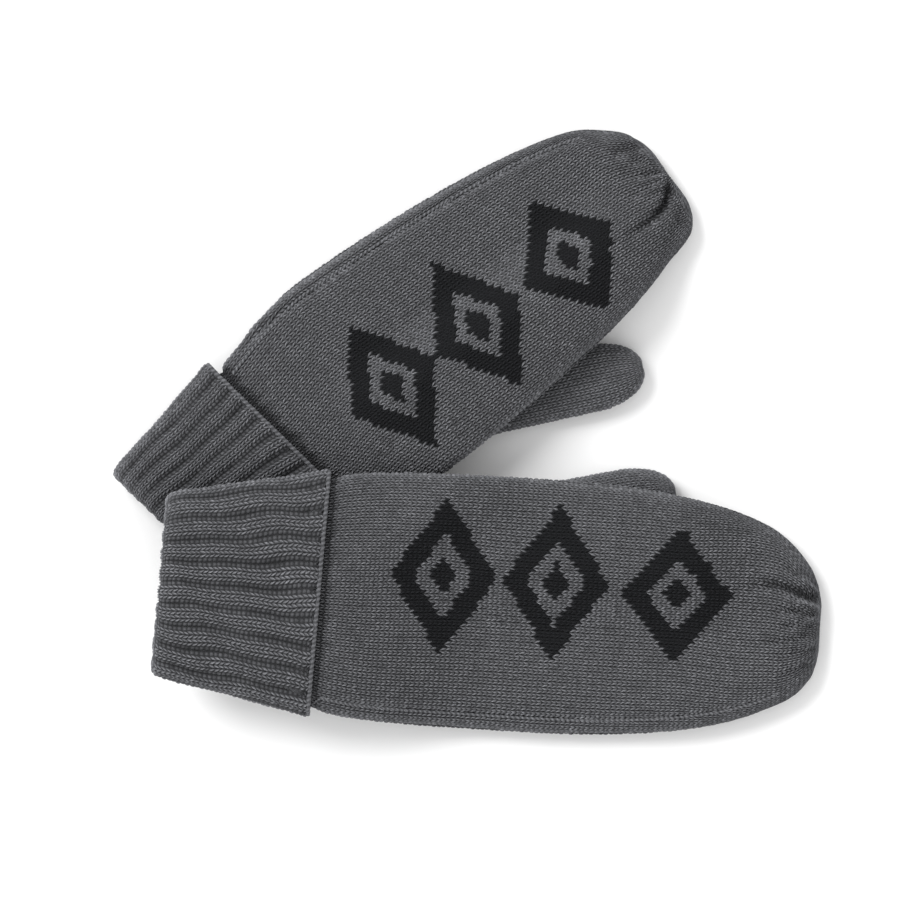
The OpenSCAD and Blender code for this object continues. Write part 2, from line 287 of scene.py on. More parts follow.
def hand_creases(side, m, surface):
    """How far each point of the hand's outer surface sinks into creases and pleats, in mm, and how
    much painted shade it gets in folds and at the cuff's edge.
    """
    points, row = surface.points, surface.at[:, None]
    u, v = points[..., 0], points[..., 1]
    top = (np.arange(points.shape[1]) < points.shape[1] // 2)[None, :]
    sink = np.zeros(u.shape)
    fold = np.zeros(u.shape)
    for path, depth, width in CREASES[side]:
        d, share = near_path(u, v, path)
        fade = depth * (1 - ease(0.35, 1, share))
        fold += fade * np.exp(-((d / width) ** 2))
        sink -= 0.38 * fade * np.exp(-(((d - 2.4 * width) / (1.3 * width)) ** 2))
    sink += fold
    g = m["gather"]
    r = np.hypot(u - g[0], v - g[1])
    turn = np.arctan2(v - g[1], np.maximum(g[0] + 4 - u, 0.01))
    sink += 0.5 * (1 - ease(8, 30, r)) * (1 - np.cos(17 * turn)) * ease(0, 6, r)
    half = np.maximum(hand_half(m, np.minimum(u, m["length"] - 1)), 1)
    seam = (-v / half - SEAM_AT) * half
    along = ease(4, 14, u) * (1 - ease(0.80, 0.90, taper_at(m, u)))
    ridge = 0.35 * np.exp(-(((seam - 3) / 1.6) ** 2))
    sink += SEAM_GROOVE * along * (np.exp(-((seam / 1.3) ** 2)) - ridge)
    # soft dents where the wool sags between the fingers' side and the thumb's
    sink += 0.5 * (1 + np.sin(u / 17 + 1.3) * np.cos(v / 13 + u / 41)) * ease(10, 40, u) * (
        1 - ease(0.7, 0.95, taper_at(m, u)))
    ending = (1 - ease(0.980, 0.995, taper_at(m, u))) * top
    # the wool puckers where it comes out of the turned-up cuff, and gets painted shade there
    uneven = 1 + 0.5 * np.sin(v * 0.83) * np.sin(v * 0.31 + 1)
    pucker_and_shade = np.exp(-(((row - 2.2) / (2.4 * uneven)) ** 2)) * m["pucker_and_shade"]
    # the second number is painted shade: in the creases' folds and at the cuff's edge
    return sink * ending + 1.3 * pucker_and_shade, fold * ending + CUFF_SHADE * pucker_and_shade


def hand_surface(side, m):
    bend = tip_u(m, 0.80)
    last = m["length"] - m["shape"][0]
    x = np.linspace(0, 1, 90)
    rounded = m["length"] - (m["length"] - bend) * (1 - x) ** 2.2
    rounded = np.minimum(rounded, m["length"] - 0.0006 * last)
    places = np.concatenate([np.arange(HAND_START - 1, bend - 0.6, 0.8), rounded[:-1]])

    def size(u):
        return hand_half(m, u), hand_t(m, u), hand_base(m, u)

    outer = Surface(places, tube(m, places, size))
    sink, outer.fold = hand_creases(side, m, outer)
    outer.set(outer.points - outer.normals * sink[..., None])
    inner_at = np.concatenate([np.arange(HAND_START - 1, bend, 3.0),
                               np.linspace(bend, tip_u(m, 0.985), 14)])
    inner = Surface(inner_at, tube(m, inner_at, size, inset=np.full(len(inner_at), WALL)))
    inner.set(inner.points - inner.normals * hand_creases(side, m, inner)[0][..., None])
    return outer, inner


# --- stitches -----------------------------------------------------------------------------------
def plain_columns(top, under):
    """Columns of plain knit: each wale has two slanting legs."""
    columns = []
    for first, n in ((0.0, top), (0.5, under)):
        for w in range(n):
            for k in range(2 * ACROSS):
                x = k / ACROSS - 1            # -1 to 1 across the wale
                a = abs(x)
                columns.append((first + 0.5 * (w + (x + 1) / 2) / n, SHEAR * a / 2,
                                math.sin(math.pi * a) ** 0.55 if 0 < a < 1 else 0.0,
                                0.0, 1.0 if a == 0 else 0.0, x,
                                w + (0 if first == 0 else top)))
    return np.array(columns)


def rib_columns(ribs):
    """Columns of rib: two raised knit wales, then two sunken purl ones."""
    columns = []
    widths, knit = (0.31, 0.31, 0.19, 0.19), (True, True, False, False)
    for r in range(ribs):
        start = 0.0
        for w in range(4):
            for k in range(2 * ACROSS):
                x = k / ACROSS - 1
                a = abs(x)
                place = start + widths[w] * (x + 1) / 2
                turn = (place - RIB_MIDDLE + 0.5) % 1 - 0.5
                base = -RIB_DEPTH * (1 - max(0.0, math.cos(math.pi * turn)) ** 0.75)
                q = math.sin(math.pi * a) ** 0.55 if 0 < a < 1 else 0.0
                columns.append(((r + place) / ribs, SHEAR * a / 2 if knit[w] else SHEAR / 2,
                                q if knit[w] else 0.45 * (1 - a * a), base,
                                1.0 if a == 0 and knit[w] else 0.0, x, r * 4 + w))
            start += widths[w]
    return np.array(columns)


PROFILE = np.array([0.12, 0.80, 1.0, 0.78])      # height along one leg of a stitch


class Knit:
    """Rows of stitches over a surface, from course 0 to the last one."""

    def __init__(self, surface, start, stop, columns, rng, course=COURSE, relief=RELIEF,
                 wander=None, uneven=None):
        length = surface.lengths()
        first, last = np.interp([start, stop], surface.at, length)
        self.courses = max(2, int(round((last - first) / course)))
        rows = np.arange(self.courses * ALONG + 1)
        share, shear, q, base, apex, x, wale = columns.T
        y = rows[:, None] / ALONG + shear[None, :]
        t = rows % ALONG
        pull = 1 - (SHEAR / 2) / self.courses   # keeps the slanting last row on the surface
        at = np.interp(first + (last - first) * y / self.courses * pull, length, surface.at)
        f = np.broadcast_to(share[None, :], at.shape)
        if wander is not None:
            f = f + wander(at, f)
        # the middle of a leg moves outwards as it rises, so that it slants like a V
        slant = SLANT * (t / ALONG - 0.4)[:, None] * (np.sign(x) * (q > 0))[None, :]
        half_wale = (np.roll(share, -ACROSS) - np.roll(share, ACROSS)) % 1 / 2
        f = f + slant * half_wale[None, :]
        wales = int(wale.max()) + 1
        course_of = rows // ALONG
        jitter = rng.normal(0, 1, (4, self.courses + 1, wales))
        loose, lean, sway, drag = jitter[:, course_of][:, :, wale.astype(int)]
        step = (last - first) / self.courses
        at = at + drag * 0.05 * step * np.gradient(surface.at, np.maximum.accumulate(
            length + np.arange(len(length)) * 1e-9))[np.clip(np.searchsorted(surface.at, at), 0,
                                                             len(surface.at) - 1)]
        f = f + sway * 0.05 * half_wale[None, :]
        p, n = surface.look_up(at, f)
        width = np.linalg.norm(np.roll(p, -ACROSS, 1) - np.roll(p, ACROSS, 1), axis=-1)
        wide = np.clip(width / 2.2, 0.15, 1)
        up = PROFILE[t][:, None] * (1 + 0.10 * loose)
        h = q[None, :] * up - 0.55 * apex[None, :] * (t == 0)[:, None] - 0.1 * apex[None, :]
        base, lighter = np.broadcast_to(base[None, :], at.shape), 0.0
        if uneven is not None:
            scale, lighter = uneven(at, f)
            base = base * scale
        inside = (q[None, :] > 0.3) * 0.05 * relief
        height = (relief * wide * (h - 0.85) + base * np.minimum(1, wide * 1.4)
                  + inside * lean)
        self.flat = p
        self.points = p + n * height[..., None]
        # relief and deep are painted shade for the yarn's material: darker in the grooves between
        # stitches and at the V's points, in the ribs' furrows and in folds, with painted light near
        # the cuff's fold
        self.relief = np.clip(h, -0.6, 1.3)
        self.deep = base / RIB_DEPTH + lighter - FOLD_SHADE * surface.last_fold
        self.strand = np.stack([np.broadcast_to(x[None, :], at.shape), y,
                                loose + 0.37 * wale[None, :] % 1], -1)
        self.at = at


class Cloth:
    """Rings of points with the numbers that the yarn's material reads, joined into faces."""

    def __init__(self, points, relief, strand, deep):
        self.points, self.relief, self.strand, self.deep = points, relief, strand, deep

    @staticmethod
    def of(knit):
        return Cloth(knit.points, knit.relief, knit.strand, knit.deep)

    @staticmethod
    def smooth(points, like):
        """Plain rings, such as an inside that is hardly seen, with the columns of some knit."""
        n = points.shape[0]
        strand = np.repeat(like.strand[:1], n, 0).copy()
        strand[..., 1] = np.arange(n)[:, None] * 3.0
        return Cloth(points, np.full(points.shape[:2], 0.55), strand,
                     np.repeat(like.deep[:1], n, 0))

    def __add__(self, other):
        return Cloth(*[np.concatenate([getattr(self, k), getattr(other, k)])
                       for k in ("points", "relief", "strand", "deep")])


def ring_faces(rows, cols, closed):
    """Quads between neighbouring rings, and the row and column of each."""
    r, c = np.meshgrid(np.arange(rows if closed else rows - 1), np.arange(cols), indexing="ij")
    r1, c1 = (r + 1) % rows, (c + 1) % cols
    quads = np.stack([r * cols + c, r * cols + c1, r1 * cols + c1, r1 * cols + c], -1)
    return quads.reshape(-1, 4), r.ravel(), c.ravel()


def new_piece(name, m, cloth, quads, material, outward=1, poles=()):
    """A mesh object from some of a cloth's faces. A pole is a ring's number, closed to a point."""
    cols = cloth.points.shape[1]
    points = cloth.points.reshape(-1, 3)
    relief, deep = cloth.relief.ravel(), cloth.deep.ravel()
    strand = cloth.strand.reshape(-1, 3)
    tris = np.zeros((0, 3), int)
    for ring, flip in poles:
        ids = ring * cols + np.arange(cols)
        centre = len(points)
        points = np.concatenate([points, points[ids].mean(0, keepdims=True)])
        relief, deep = np.append(relief, 0.4), np.append(deep, 0.0)
        strand = np.concatenate([strand, strand[ids[:1]]])
        fan = np.stack([ids, np.roll(ids, -1), np.full(cols, centre)], -1)
        tris = np.concatenate([tris, fan[:, ::-1] if flip else fan])
    if outward * m["mirror"] < 0:
        quads, tris = quads[:, ::-1], tris[:, ::-1]
    used = np.unique(np.concatenate([quads.ravel(), tris.ravel()]))
    new = np.zeros(len(points), int)
    new[used] = np.arange(len(used))
    world = in_row_frame(m, points[used])
    world[:, 2] = np.maximum(world[:, 2], 0.00002)
    loops = np.concatenate([new[quads].ravel(), new[tris].ravel()])
    starts = np.concatenate([np.arange(len(quads)) * 4, len(quads) * 4 + np.arange(len(tris)) * 3])
    mesh = bpy.data.meshes.new(name)
    mesh.vertices.add(len(world))
    mesh.vertices.foreach_set("co", world.astype(np.float32).ravel())
    mesh.loops.add(len(loops))
    mesh.loops.foreach_set("vertex_index", loops.astype(np.int32))
    mesh.polygons.add(len(starts))
    mesh.polygons.foreach_set("loop_start", starts.astype(np.int32))
    mesh.polygons.foreach_set("use_smooth", np.ones(len(starts), bool))
    mesh.update(calc_edges=True)
    mesh.validate()
    for key, kind, data in (("relief", "FLOAT", relief[used]), ("deep", "FLOAT", deep[used])):
        mesh.attributes.new(key, kind, "POINT").data.foreach_set("value", data.astype(np.float32))
    mesh.attributes.new("strand", "FLOAT_VECTOR", "POINT").data.foreach_set(
        "vector", strand[used].astype(np.float32).ravel())
    mesh.materials.append(material)
    obj = bpy.data.objects.new(name, mesh)
    bpy.context.scene.collection.objects.link(obj)
    return obj


# --- materials ----------------------------------------------------------------------------------
class Nodes:
    """Short ways to add and join shader nodes."""

    def __init__(self, material):
        material.use_nodes = True
        self.tree = material.node_tree
        self.shader = self.tree.nodes["Principled BSDF"]

    def add(self, kind, inputs=None, **settings):
        node = self.tree.nodes.new(kind)
        for k, v in settings.items():
            setattr(node, k, v)
        for k, v in (inputs or {}).items():
            if isinstance(v, bpy.types.NodeSocket):
                self.tree.links.new(v, node.inputs[k])
            else:
                node.inputs[k].default_value = v
        return node

    def maths(self, operation, a, b=0.0, clamp=False):
        return self.add("ShaderNodeMath", {0: a, 1: b}, operation=operation,
                        use_clamp=clamp).outputs[0]

    def noise(self, vector, scale, detail=3.0, roughness=0.6):
        return self.add("ShaderNodeTexNoise", {"Vector": vector, "Scale": scale, "Detail": detail,
                                               "Roughness": roughness}).outputs[0]

    def ramp(self, value, *stops):
        node = self.add("ShaderNodeValToRGB", {0: value})
        ramp = node.color_ramp
        while len(ramp.elements) < len(stops):
            ramp.elements.new(0.5)
        for element, (place, colour) in zip(ramp.elements, stops):
            element.position, element.color = place, (*colour, 1)
        return node.outputs[0]


def yarn(name, colour, cavity, heather, sheen):
    """Wool yarn: painted shade in the grooves, mottled between stitches, with plies and loose
    fibres.
    """
    material = bpy.data.materials.new(name)
    n = Nodes(material)
    place = n.add("ShaderNodeTexCoord").outputs["Object"]
    strand = n.add("ShaderNodeAttribute", attribute_name="strand")
    relief = n.add("ShaderNodeAttribute", attribute_name="relief").outputs["Fac"]
    deep = n.add("ShaderNodeAttribute", attribute_name="deep").outputs["Fac"]
    parts = n.add("ShaderNodeSeparateXYZ", {0: strand.outputs["Vector"]})
    across, along, chance = parts.outputs
    # two plies, twisted round each other along the strand
    turns = n.maths("ADD", n.maths("MULTIPLY", across, 4.0), n.maths("MULTIPLY", along, 9.5))
    ply = n.maths("ABSOLUTE", n.maths("SINE", turns))
    fibre = n.noise(place, 5200.0, 4.0, 0.7)
    tuft = n.noise(place, 1500.0, 3.0, 0.6)
    patch = n.noise(place, 60.0, 2.0, 0.5)
    # light and dark fibres spun together
    mottle = n.maths("ADD", n.maths("MULTIPLY", fibre, 0.5), n.maths("MULTIPLY", tuft, 0.5))
    light = tuple(c * (1 + heather) for c in colour)
    dark = tuple(c * (1 - heather) for c in colour)
    wool = n.ramp(mottle, (0.34, dark), (0.52, colour), (0.68, light))
    # painted shade: darker where relief is low and where deep is below zero, lighter where deep is
    # above zero
    shade = n.ramp(n.maths("ADD", relief, n.maths("MULTIPLY", deep, 0.22)),
                   (0.0, (cavity,) * 3), (0.55, ((1 + cavity) * 0.48,) * 3), (0.98, (1.0,) * 3))
    stitch = n.maths("ADD", n.maths("MULTIPLY", chance, 0.035), 1.0)
    uneven = n.maths("ADD", n.maths("MULTIPLY", n.maths("SUBTRACT", patch, 0.5), 0.22), stitch)
    tone = n.add("ShaderNodeMix", {0: 1.0, 6: wool, 7: shade}, data_type="RGBA",
                 blend_type="MULTIPLY").outputs[2]
    colour_out = n.add("ShaderNodeVectorMath", {0: tone, 3: uneven}, operation="SCALE").outputs[0]
    n.tree.links.new(colour_out, n.shader.inputs["Base Color"])
    rough = n.add("ShaderNodeMapRange", {"Value": fibre, "To Min": 0.78, "To Max": 0.98}).outputs[0]
    n.tree.links.new(rough, n.shader.inputs["Roughness"])
    height = n.maths("ADD", n.maths("MULTIPLY", ply, 0.35), n.maths("MULTIPLY", fibre, 0.9))
    bump = n.add("ShaderNodeBump", {"Strength": 0.55, "Distance": 0.00028, "Height": height})
    n.tree.links.new(bump.outputs[0], n.shader.inputs["Normal"])
    n.shader.inputs["Specular IOR Level"].default_value = 0.18
    n.shader.inputs["Sheen Weight"].default_value = sheen
    n.shader.inputs["Sheen Roughness"].default_value = 0.45
    n.shader.inputs["Sheen Tint"].default_value = (0.80, 0.82, 0.86, 1)
    return material


GREY = yarn("grey_yarn", (0.212, 0.215, 0.229), 0.12, 0.50, 0.14)
RIB = yarn("rib_yarn", (0.222, 0.225, 0.240), 0.12, 0.50, 0.14)
BLACK = yarn("black_yarn", (0.0150, 0.0157, 0.0178), 0.45, 0.45, 0.03)


# --- the pieces ---------------------------------------------------------------------------------
def in_motif(m, u, v):
    """Whether a stitch at u, v on the back of the hand is knitted in black."""
    black = np.zeros(np.shape(u), bool)
    for du, dv, a, b in m["diamonds"]:
        r = np.abs(u - du) / a + np.abs(v - dv) / b
        grow = MOTIF_LINE / 2 * math.hypot(1 / a, 1 / b)
        heart = np.abs(u - du) / HEART_HALF + np.abs(v - dv) / (HEART_HALF * b / a)
        black |= (np.abs(r - 1) <= grow) | (heart <= 1)
    return black


def bend_with_fingers(m, obj):
    """Finds points before and after the knuckles, and bakes the object's placement into its mesh.
    """
    ends = in_row_frame(m, np.array([[m["knuckle"] - BEND_BEFORE, 0, 9],
                                     [m["knuckle"] + BEND_AFTER, 0, 9]], float))
    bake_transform(obj)


def running_off(m, surface):
    """Towards the tip the wales keep their width, and the outer ones run off over the sides."""
    girth = surface.girth()
    crowd = np.where(surface.at > m["shape"][0], girth.max() / np.maximum(girth, 1e-6), 1)
    crowd = np.clip(crowd, 1, m["run_off"])

    def wander(at, f):
        k = np.interp(at, surface.at, crowd)
        middle = np.where(f < 0.5, 0.25, 0.75)
        reach = (f - middle) / 0.25
        spread = k * reach / (1 + (k**6 - 1) * np.abs(reach) ** 6) ** (1 / 6)
        return (spread - reach) * 0.25
    return wander


def hand_and_fingers(side, m, rng):
    outer, inner = hand_surface(side, m)
    columns = plain_columns(m["wales"], m["wales"])
    knit = Knit(outer, HAND_START, outer.at[-1], columns, rng, wander=running_off(m, outer))
    inner_rows = np.arange(len(inner.at))[1:]
    share = np.broadcast_to(columns[:, 0][None, :], (len(inner_rows), len(columns)))
    inside, _ = inner.look_up(np.broadcast_to(inner.at[1:, None], share.shape), share)
    lining = Cloth.smooth(inside, knit)
    cloth = Cloth.of(knit) + lining
    rows, cols = knit.points.shape[:2]
    total = cloth.points.shape[0]
    outer_quads, r, c = ring_faces(rows, cols, False)
    per_wale = 2 * ACROSS
    # a stitch's own middle tells which piece it belongs to
    mid_row = np.minimum((r // ALONG) * ALONG + ALONG // 2, rows - 1)
    mid_col = (c // per_wale) * per_wale + ACROSS
    mid = knit.flat[mid_row, mid_col]
    at = knit.at[(r // ALONG) * ALONG, mid_col]
    back = c < m["wales"] * per_wale
    black = in_motif(m, mid[:, 0], mid[:, 1]) & back & (at > 5)
    fingers = at >= m["knuckle"]
    tip = at >= tip_u(m, TIP_AT)
    hole = ~back & (np.hypot(mid[:, 0] - m["root"][0], mid[:, 1] - m["root"][1]) < HOLE_R)
    lining_quads, lr, lc = ring_faces(total, cols, False)
    keep = lr >= rows
    lining_quads, lr, lc = lining_quads[keep][:, ::-1], lr[keep] - rows, lc[keep]
    join = np.stack([np.arange(cols), rows * cols + np.arange(cols),
                     rows * cols + (np.arange(cols) + 1) % cols, (np.arange(cols) + 1) % cols], -1)
    lining_mid = inside[lr, lc]
    lining_back, join_back = lc < m["wales"] * per_wale, np.arange(cols) < m["wales"] * per_wale
    lining_fingers = inner_rows[lr] >= np.searchsorted(inner.at, m["knuckle"])
    lining_hole = ~lining_back & (np.hypot(lining_mid[:, 0] - m["root"][0],
                                           lining_mid[:, 1] - m["root"][1]) < HOLE_R)

    def piece(name, chosen, lining_chosen, join_chosen, material, poles, *nodes):
        quads = np.concatenate([outer_quads[chosen], lining_quads[lining_chosen & ~lining_hole],
                                join[join_chosen]])
        obj = new_piece(f"{side}_{name}", m, cloth, quads, material, poles=poles)
        bend_with_fingers(m, obj)
        if nodes:
            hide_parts(*[f"{side}_{n}" for n in nodes])

    none, no_join = np.zeros(len(lr), bool), np.zeros(cols, bool)
    grey = ~black & ~hole & ~tip
    piece("hand_back", grey & back & ~fingers, lining_back & ~lining_fingers, join_back, GREY, (),
          "hand_shell")
    piece("hand_palm", grey & ~back & ~fingers, ~lining_back & ~lining_fingers, ~join_back, GREY,
          (), "hand_shell")
    piece("fingers_back", grey & back & fingers, lining_back & lining_fingers, no_join, GREY, (),
          "finger_shell")
    piece("fingers_palm", grey & ~back & fingers, ~lining_back & lining_fingers, no_join, GREY,
          ((total - 1, True),), "finger_shell")
    piece("tip", tip, none, no_join, GREY, ((rows - 1, False),), "tip_gather")
    piece("hand_diamonds", black & ~fingers, none, no_join, BLACK, (), "hand_motif")
    piece("finger_diamonds", black & fingers, none, no_join, BLACK, (), "finger_motif")
    return outer


def rope(path, normals, radius, pitch, swelling=0.28, light=0.55):
    """Rings of points around a path, swelling at each stitch."""
    d = np.concatenate([[0], np.cumsum(np.linalg.norm(np.diff(path, axis=0), axis=1))])
    n = max(8, int(d[-1] / pitch * 5))
    s = np.linspace(0, d[-1], n)
    p = np.stack([np.interp(s, d, path[:, k]) for k in range(3)], -1)
    up = np.stack([np.interp(s, d, normals[:, k]) for k in range(3)], -1)
    along = np.gradient(p, axis=0)
    along /= np.linalg.norm(along, axis=1, keepdims=True)
    side = np.cross(along, up)
    side /= np.maximum(np.linalg.norm(side, axis=1, keepdims=True), 1e-9)
    up = np.cross(side, along)
    phase = s / pitch * 2 * math.pi
    a = np.arange(ROPE_SIDES) / ROPE_SIDES * 2 * math.pi
    twist = np.cos(phase[:, None] + a[None, :])
    swell = radius * (1 + swelling * twist)
    from_end = np.clip(np.minimum(s, d[-1] - s) / (2 * radius), 0, 1)
    ends = np.minimum(1, np.sin(from_end * math.pi / 2) + 0.05)
    swell = swell * ends[:, None]
    points = (p[:, None] + side[:, None] * (np.cos(a)[None, :, None] * swell[..., None])
              + up[:, None] * (np.sin(a)[None, :, None] * swell[..., None] * 0.8))
    strand = np.stack(np.broadcast_arrays(a[None, :] / math.pi - 1, s[:, None] / pitch,
                                          np.zeros((n, ROPE_SIDES))), -1)
    # painted shade along the strand: darker between its swells, lighter on them
    relief = np.clip(light * (1 + 0.7 * twist), 0, 1)
    return Cloth(points, relief, strand, np.zeros((n, ROPE_SIDES)))


def side_seam(side, m, outer):
    """The linking yarn along the little-finger edge, in its groove."""
    for part, first, last in (("hand", 4.0, m["knuckle"]),
                              ("finger", m["knuckle"], tip_u(m, SEAM_END))):
        path, up = [], []
        for u in np.arange(first, last + 1.2, 1.2):
            share = np.linspace(0.3, 0.5, 400)
            p, n = outer.look_up(np.full(400, min(u, last)), share)
            straight = 1 - ease(0, WRIST_STRAIGHT, min(u, last))
            wanted = -SEAM_AT * hand_half(m, min(u, last)) + m["shift"] * straight
            k = np.argmin(np.abs(p[:, 1] - wanted))
            path.append(p[k] - n[k] * SEAM_SUNK)
            up.append(n[k])
        cloth = rope(np.array(path), np.array(up), SEAM_RADIUS, COURSE, 0.16, 0.48)
        rings = cloth.points.shape[0]
        quads, _, _ = ring_faces(rings, ROPE_SIDES, False)
        obj = new_piece(f"{side}_{part}_seam_yarn", m, cloth, quads, GREY,
                        poles=((0, True), (rings - 1, False)))
        bend_with_fingers(m, obj)
        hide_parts(f"{side}_{part}_seam")


def profile_surface(m, profile, outward):
    """Table of a cuff layer from its profile: points of u and inset, rounded and evenly spaced."""
    p = np.array(profile, float)
    d = np.concatenate([[0], np.cumsum(np.hypot(*np.diff(p, axis=0).T))])
    s = np.arange(0, d[-1], 0.35)
    u, inset = np.interp(s, d, p[:, 0]), np.interp(s, d, p[:, 1])
    kernel = np.hanning(9)[1:-1]
    kernel /= kernel.sum()
    for _ in range(2):
        u = np.convolve(np.pad(u, 3, mode="edge"), kernel, "valid")
        inset = np.convolve(np.pad(inset, 3, mode="edge"), kernel, "valid")
    table = tube(m, u, lambda x: (cuff_half(m, x), CUFF_THICK, 0.0), inset=inset)
    return Surface(s, table, outward), u


def wandering(side, m):
    """Ribs never run quite straight: they drift and crowd a little."""
    k = 1.0 if side == "right" else 0.6

    def wander(at, f):
        y = at / m["cuff"]
        return k * (0.0040 * np.sin(2 * np.pi * (1.0 * y + 3 * f)) * np.sin(np.pi * y)
                    + 0.0022 * np.sin(2 * np.pi * (2.3 * y + 5 * f + 0.2)))
    return wander


def uneven_ribs(m, surface, places, rng):
    """Some ribs stand higher than others, and near the fold they flatten and get painted light."""
    level = np.clip(1 + 0.30 * rng.normal(0, 1, (7, m["ribs"])), 0.45, 1.45)

    def uneven(at, f):
        knot = np.clip(at / surface.at[-1], 0, 1) * 5.999
        k, c = np.floor(knot).astype(int), np.mod(f, 1) * m["ribs"] - RIB_MIDDLE
        r = np.floor(c).astype(int)
        a, b = ease(0, 1, knot - k), c - r
        r0, r1 = r % m["ribs"], (r + 1) % m["ribs"]
        scale = ((level[k, r0] * (1 - b) + level[k, r1] * b) * (1 - a)
                 + (level[k + 1, r0] * (1 - b) + level[k + 1, r1] * b) * a)
        folded = 1 - ease(0, 11, np.interp(at, surface.at, places) + m["cuff"])
        # the second number is painted light near the fold
        return scale * (1 - 0.35 * folded), 0.5 * folded
    return uneven


def cuff_band(side, m, rng):
    c = m["cuff"]
    profile = [(-4.0, 3.25), (-1.2, 3.3), (0.3, 2.7), (0.9, 1.5), (0.5, 0.2), (-1.0, -0.45),
               (-3.0, -0.35), (-6.0, 0.0), (-c / 2, 0.25), (-c + 6.0, 0.0), (-c + 2.2, 0.4),
               (-c + 0.5, 1.6), (-c, 3.2), (-c + 0.4, 5.0), (-c + 1.4, 6.2), (-c + 2.6, 6.6)]
    surface, places = profile_surface(m, profile, -1)
    columns = rib_columns(m["ribs"])
    knit = Knit(surface, 0, surface.at[-1], columns, rng, wander=wandering(side, m),
                uneven=uneven_ribs(m, surface, places, rng))
    back = [(-c + 3.0, 5.6), (-c + 3.1, 3.9), (-c + 8.0, 3.3), (-c / 2, 3.3), (-8.0, 3.3)]
    inner = np.array([even_ring(lambda y, z, u=u: laid(m, u, y, z), cuff_half(m, u), CUFF_THICK, i)
                      for u, i in back])
    table = Surface(np.arange(len(back)), inner, 1)
    share = np.broadcast_to(columns[:, 0][None, :], (len(back), len(columns)))
    inside, _ = table.look_up(np.broadcast_to(np.arange(len(back))[:, None], share.shape), share)
    cloth = Cloth.of(knit) + Cloth.smooth(inside, knit)
    quads, _, _ = ring_faces(cloth.points.shape[0], len(columns), True)
    obj = new_piece(f"{side}_cuff_rib", m, cloth, quads, RIB, outward=-1)
    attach(obj, f"{side}_cuff")
    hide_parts(f"{side}_cuff_band")


def cuff_edge(side, m):
    """The chain of cast-on stitches along the cuff's free edge, and one loose end of yarn."""
    ring = even_ring(lambda y, z: laid(m, np.full(np.shape(y), EDGE_AT), y, z), CUFF_EDGE_HALF,
                     CUFF_THICK, 1.15)
    turn = np.arange(AROUND) / AROUND
    wave = 0.55 * np.cos(2 * np.pi * (turn * m["ribs"] - 0.35))
    middle = ring.mean(0)
    out = ring - middle
    out[:, 0] = 0
    out /= np.linalg.norm(out * [1, 1, 3], axis=1, keepdims=True)
    ring = ring + out * wave[:, None]
    path = np.concatenate([ring, ring[:1]])
    chain = rope(path, np.concatenate([out, out[:1]]), EDGE_RADIUS, EDGE_PITCH, 0.14, 0.40)
    quads, _, _ = ring_faces(chain.points.shape[0], ROPE_SIDES, False)
    obj = new_piece(f"{side}_cuff_edge", m, chain, quads, RIB,
                    poles=((0, True), (chain.points.shape[0] - 1, False)))
    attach(obj, f"{side}_cuff")
    if side == "left":
        return
    t = np.linspace(0, 1, 12)[:, None]
    v = END_AT
    top = float(lift(m, np.array(3.0), np.array(v))) + CUFF_INNER_BASE + CUFF_INNER_THICK * 0.72
    path = np.concatenate([0.5 + END_LENGTH * t, v + 2.6 * t + 1.3 * np.sin(t * 3.1),
                           top + 1.6 * np.sin(t * 2.6)], 1)
    end = rope(path, np.repeat([[0.0, 0.0, 1.0]], 12, 0), END_RADIUS, 1.4)
    quads, _, _ = ring_faces(end.points.shape[0], ROPE_SIDES, False)
    obj = new_piece(f"{side}_yarn_end", m, end, quads, GREY,
                    poles=((0, True), (end.points.shape[0] - 1, False)))
    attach(obj, f"{side}_cuff")


def cuff_liner(side, m, rng):
    c = m["cuff"]
    profile = [(HAND_START + 2.6, 5.4), (HAND_START + 2.2, 4.3), (HAND_START, 3.9),
               (-c + 5.4, 3.9), (-c + 3.9, 4.3), (-c + 3.4, 5.3), (-c + 3.9, 6.3), (-c + 5.4, 6.7),
               (HAND_START - 2, 6.7), (HAND_START + 1.6, 6.5)]
    surface, _ = profile_surface(m, profile, -1)
    columns = rib_columns(m["ribs"])
    knit = Knit(surface, 0, surface.at[-1], columns, rng, course=LINER_COURSE, relief=0.7)
    # inside a cuff the ribs and furrows are shallow, so that both sides fit in the wall
    knit.points = knit.flat + (knit.points - knit.flat) * LINER_SQUEEZE
    cloth = Cloth.of(knit)
    quads, _, _ = ring_faces(cloth.points.shape[0], len(columns), True)
    obj = new_piece(f"{side}_cuff_lining", m, cloth, quads, RIB, outward=-1)
    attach(obj, f"{side}_hand")
    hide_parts(f"{side}_cuff_liner")


def thumb_w(s):
    if s < 0:
        return THUMB_HALF * math.sqrt(max(0, 1 - (-s / THUMB_BACK) ** 2.4))
    e = max(0, (s - THUMB_LENGTH + THUMB_ROUND) / THUMB_ROUND)
    return THUMB_HALF * max(0, 1 - e**2.3) ** (1 / 2.3)


def thumb_surface(m):
    x = np.linspace(0, 1, 40)
    places = np.concatenate([-THUMB_BACK * (1 - x**2.2)[1:], np.arange(1.0, 56.5, 1.0),
                             THUMB_LENGTH - THUMB_ROUND * (1 - x) ** 2.2])
    places = np.clip(places, -THUMB_BACK + 0.02, THUMB_LENGTH - 0.02)
    a = math.radians(m["thumb_turn"])
    rows = []
    for s in places:
        w = thumb_w(s)
        thick = THUMB_THICK * math.sqrt(min(1, w / THUMB_HALF))

        def make(y, z, s=s, thick=thick):
            z = z + (THUMB_THICK - thick) * 0.4
            u = m["root"][0] + s * math.cos(a) - y * math.sin(a)
            v = m["root"][1] + s * math.sin(a) + y * math.cos(a)
            # around its root the thumb rises to meet the palm
            room = np.clip(lift(m, u, v) - ROOT_GAP - THUMB_THICK, 0, 6)
            near = 1 - ease(12, 30, np.hypot(s, y))
            return np.stack([u, v, z + room * near * ease(0.5, 1, z / THUMB_THICK)], -1)
        rows.append(even_ring(make, w, thick, 0))
    return Surface(places, np.array(rows))


